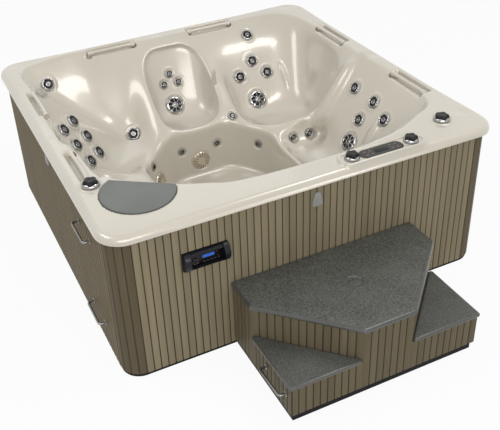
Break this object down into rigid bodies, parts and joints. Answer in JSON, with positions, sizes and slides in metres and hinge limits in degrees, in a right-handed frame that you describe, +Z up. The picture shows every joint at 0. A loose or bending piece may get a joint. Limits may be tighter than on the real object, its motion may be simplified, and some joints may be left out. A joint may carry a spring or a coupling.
{
  "type": "hot tub",
  "caption": "Square hot tub with seats and footwell in a pearl shell, turning jets and knobs, lift-off filter lid, slatted cabinet, stereo and an equipment step.",
  "frame": {"origin": "on the floor, under the centre of the tub, in the base pan's underside", "axes": "+X to the right along the front face, +Y to the back, +Z up"},
  "size_m": [2.374, 2.983, 0.9873],
  "materials": {
    "shell_acrylic": "pearl gloss champagne",
    "cabinet_slats": "embossed taupe slats",
    "corner_slats": "embossed darker taupe slats",
    "black_plastic": "matt black",
    "step_grey": "stippled dark grey",
    "panel_grey": "satin grey membrane",
    "lid_slate": "fine grain slate grey",
    "clip_grey": "satin light grey",
    "handle_steel": "brushed",
    "stereo_black": "satin black",
    "radio_gloss": "gloss black",
    "jet_chrome": "polished scalloped ring",
    "knob_black": "black cap on a bright skirt",
    "foot_jet_grey": "satin grey",
    "grille_taupe": "satin taupe",
    "white_pipe": "white moulded pipe",
    "filter_paper": "pleated filter cloth",
    "foam": "rigid foam block",
    "frame_timber": "planed timber",
    "pump_black": "satin black",
    "heater_steel": "brushed tube",
    "pack_grey": "satin grey box"
  },
  "bodies": {
    "tub": {"acrylic_shell": "shell_acrylic", "back_panel": "cabinet_slats", "base_pan": "black_plastic", "carry_handles": "handle_steel", "control_pack": "pack_grey", "control_panel": "panel_grey", "corner_covers": "corner_slats", "cover_clips": "clip_grey", "filter_cartridge": "filter_paper", "filter_well": "white_pipe", "foam_cradle": "foam", "foot_jets": "foot_jet_grey", "front_panel": "cabinet_slats", "grab_rails": "shell_acrylic", "heater": "heater_steel", "jet_bodies": "white_pipe", "left_panel": "cabinet_slats", "mini_jets": "jet_chrome", "pipework": "white_pipe", "pump": "pump_black", "right_panel": "cabinet_slats", "step_plinth": "black_plastic", "step_treads": "step_grey", "step_walls": "cabinet_slats", "stereo_housing": "stereo_black", "stereo_radio": "radio_gloss", "suction_grilles": "grille_taupe", "support_frame": "frame_timber", "valve_bodies": "white_pipe"},
    "jet_corner_left": {"jet_corner_left": "jet_chrome"},
    "jet_corner_main": {"jet_corner_main": "jet_chrome"},
    "jet_corner_neck": {"jet_corner_neck": "jet_chrome"},
    "jet_corner_right": {"jet_corner_right": "jet_chrome"},
    "jet_corner_side": {"jet_corner_side": "jet_chrome"},
    "jet_corner_top": {"jet_corner_top": "jet_chrome"},
    "jet_left_lower_left": {"jet_left_lower_left": "jet_chrome"},
    "jet_left_lower_right": {"jet_left_lower_right": "jet_chrome"},
    "jet_left_middle_left": {"jet_left_middle_left": "jet_chrome"},
    "jet_left_middle_right": {"jet_left_middle_right": "jet_chrome"},
    "jet_left_neck": {"jet_left_neck": "jet_chrome"},
    "jet_left_side": {"jet_left_side": "jet_chrome"},
    "jet_left_upper_left": {"jet_left_upper_left": "jet_chrome"},
    "jet_left_upper_right": {"jet_left_upper_right": "jet_chrome"},
    "jet_middle_main": {"jet_middle_main": "jet_chrome"},
    "jet_nose": {"jet_nose": "jet_chrome"},
    "jet_right_back": {"jet_right_back": "jet_chrome"},
    "jet_right_front": {"jet_right_front": "jet_chrome"},
    "jet_right_main": {"jet_right_main": "jet_chrome"},
    "jet_right_middle": {"jet_right_middle": "jet_chrome"},
    "jet_right_top": {"jet_right_top": "jet_chrome"},
    "knob_jets": {"knob_jets": "knob_black"},
    "knob_waterfall": {"knob_waterfall": "knob_black"},
    "knob_air_right": {"knob_air_right": "knob_black"},
    "knob_air_left": {"knob_air_left": "knob_black"},
    "stereo_door": {"stereo_door": "stereo_black"},
    "stereo_dial": {"stereo_dial": "radio_gloss"},
    "filter_lid": {"filter_lid": "lid_slate"},
    "step_deck": {"step_deck": "step_grey"}
  },
  "joints": [
    {"name": "jet_corner_left_turn", "type": "hinge", "parent": "tub", "child": "jet_corner_left", "pos_m": [0.474, 0.75425, 0.62464], "axis": [0, -0.8192, 0.5735], "range_deg": [0, 135]},
    {"name": "jet_corner_main_turn", "type": "hinge", "parent": "tub", "child": "jet_corner_main", "pos_m": [0.56, 0.64529, 0.46898], "axis": [0, -0.8192, 0.5735], "range_deg": [0, 135]},
    {"name": "jet_corner_neck_turn", "type": "hinge", "parent": "tub", "child": "jet_corner_neck", "pos_m": [0.637, 0.94751, 0.85166], "axis": [0, -0.601, 0.7993], "range_deg": [0, 135]},
    {"name": "jet_corner_right_turn", "type": "hinge", "parent": "tub", "child": "jet_corner_right", "pos_m": [0.695, 0.74737, 0.61481], "axis": [0, -0.8192, 0.5735], "range_deg": [0, 135]},
    {"name": "jet_corner_side_turn", "type": "hinge", "parent": "tub", "child": "jet_corner_side", "pos_m": [1.01205, 0.25102, 0.64881], "axis": [-0.6141, 0.6503, 0.4472], "range_deg": [0, 135]},
    {"name": "jet_corner_top_turn", "type": "hinge", "parent": "tub", "child": "jet_corner_top", "pos_m": [0.603, 0.80873, 0.70247], "axis": [0, -0.8192, 0.5735], "range_deg": [0, 135]},
    {"name": "jet_left_lower_left_turn", "type": "hinge", "parent": "tub", "child": "jet_left_lower_left", "pos_m": [-0.8347, 0.27368, 0.54339], "axis": [0.6519, -0.4201, 0.6313], "range_deg": [0, 135]},
    {"name": "jet_left_lower_right_turn", "type": "hinge", "parent": "tub", "child": "jet_left_lower_right", "pos_m": [-0.74716, 0.3862, 0.52788], "axis": [0.6519, -0.4201, 0.6313], "range_deg": [0, 135]},
    {"name": "jet_left_middle_left_turn", "type": "hinge", "parent": "tub", "child": "jet_left_middle_left", "pos_m": [-0.89389, 0.33799, 0.64732], "axis": [0.6519, -0.4201, 0.6313], "range_deg": [0, 135]},
    {"name": "jet_left_middle_right_turn", "type": "hinge", "parent": "tub", "child": "jet_left_middle_right", "pos_m": [-0.79237, 0.46173, 0.62483], "axis": [0.6519, -0.4201, 0.6313], "range_deg": [0, 135]},
    {"name": "jet_left_neck_turn", "type": "hinge", "parent": "tub", "child": "jet_left_neck", "pos_m": [-0.892, 0.94767, 0.82534], "axis": [0, -0.8944, 0.4472], "range_deg": [0, 135]},
    {"name": "jet_left_side_turn", "type": "hinge", "parent": "tub", "child": "jet_left_side", "pos_m": [-0.41868, 0.65404, 0.4443], "axis": [-0.3259, -0.7931, 0.5145], "range_deg": [0, 135]},
    {"name": "jet_left_upper_left_turn", "type": "hinge", "parent": "tub", "child": "jet_left_upper_left", "pos_m": [-0.94724, 0.39855, 0.74271], "axis": [0.6519, -0.4201, 0.6313], "range_deg": [0, 135]},
    {"name": "jet_left_upper_right_turn", "type": "hinge", "parent": "tub", "child": "jet_left_upper_right", "pos_m": [-0.85537, 0.5178, 0.7272], "axis": [0.6519, -0.4201, 0.6313], "range_deg": [0, 135]},
    {"name": "jet_middle_main_turn", "type": "hinge", "parent": "tub", "child": "jet_middle_main", "pos_m": [-0.03, 0.81819, 0.49762], "axis": [0, -0.8762, 0.4819], "range_deg": [0, 135]},
    {"name": "jet_nose_turn", "type": "hinge", "parent": "tub", "child": "jet_nose", "pos_m": [0.265, 0.46394, 0.48808], "axis": [0, -0.601, 0.7993], "range_deg": [0, 135]},
    {"name": "jet_right_back_turn", "type": "hinge", "parent": "tub", "child": "jet_right_back", "pos_m": [0.93074, -0.0755, 0.76708], "axis": [-0.8308, 0, 0.5566], "range_deg": [0, 135]},
    {"name": "jet_right_front_turn", "type": "hinge", "parent": "tub", "child": "jet_right_front", "pos_m": [0.89623, -0.4675, 0.71557], "axis": [-0.8308, 0, 0.5566], "range_deg": [0, 135]},
    {"name": "jet_right_main_turn", "type": "hinge", "parent": "tub", "child": "jet_right_main", "pos_m": [0.75708, -0.2905, 0.50788], "axis": [-0.8308, 0, 0.5566], "range_deg": [0, 135]},
    {"name": "jet_right_middle_turn", "type": "hinge", "parent": "tub", "child": "jet_right_middle", "pos_m": [0.84391, -0.2665, 0.63748], "axis": [-0.8308, 0, 0.5566], "range_deg": [0, 135]},
    {"name": "jet_right_top_turn", "type": "hinge", "parent": "tub", "child": "jet_right_top", "pos_m": [0.92796, -0.3035, 0.76292], "axis": [-0.8308, 0, 0.5566], "range_deg": [0, 135]},
    {"name": "knob_jets_turn", "type": "hinge", "parent": "tub", "child": "knob_jets", "pos_m": [0.244, -1.097, 0.952], "axis": [0, 0, 1], "range_deg": [0, 180]},
    {"name": "knob_waterfall_turn", "type": "hinge", "parent": "tub", "child": "knob_waterfall", "pos_m": [0.622, -1.097, 0.952], "axis": [0, 0, 1], "range_deg": [0, 180]},
    {"name": "knob_air_right_turn", "type": "hinge", "parent": "tub", "child": "knob_air_right", "pos_m": [0.931, -0.968, 0.94], "axis": [0, 0, 1], "range_deg": [0, 180]},
    {"name": "knob_air_left_turn", "type": "hinge", "parent": "tub", "child": "knob_air_left", "pos_m": [-1.065, -0.64, 0.94], "axis": [0, 0, 1], "range_deg": [0, 180]},
    {"name": "stereo_door_roll", "type": "hinge", "parent": "tub", "child": "stereo_door", "pos_m": [-0.6535, -1.136, 0.668], "axis": [1, 0, 0], "range_deg": [0, 85]},
    {"name": "stereo_dial_turn", "type": "hinge", "parent": "tub", "child": "stereo_dial", "pos_m": [-0.717, -1.162, 0.664], "axis": [0, -1, 0], "range_deg": [0, 300]},
    {"name": "filter_lid_lift", "type": "slide", "parent": "tub", "child": "filter_lid", "axis": [0, 0, 1], "range_m": [0, 0.15]},
    {"name": "step_deck_lift", "type": "slide", "parent": "tub", "child": "step_deck", "axis": [0, 0, 1], "range_m": [0, 0.15]}
  ]
}
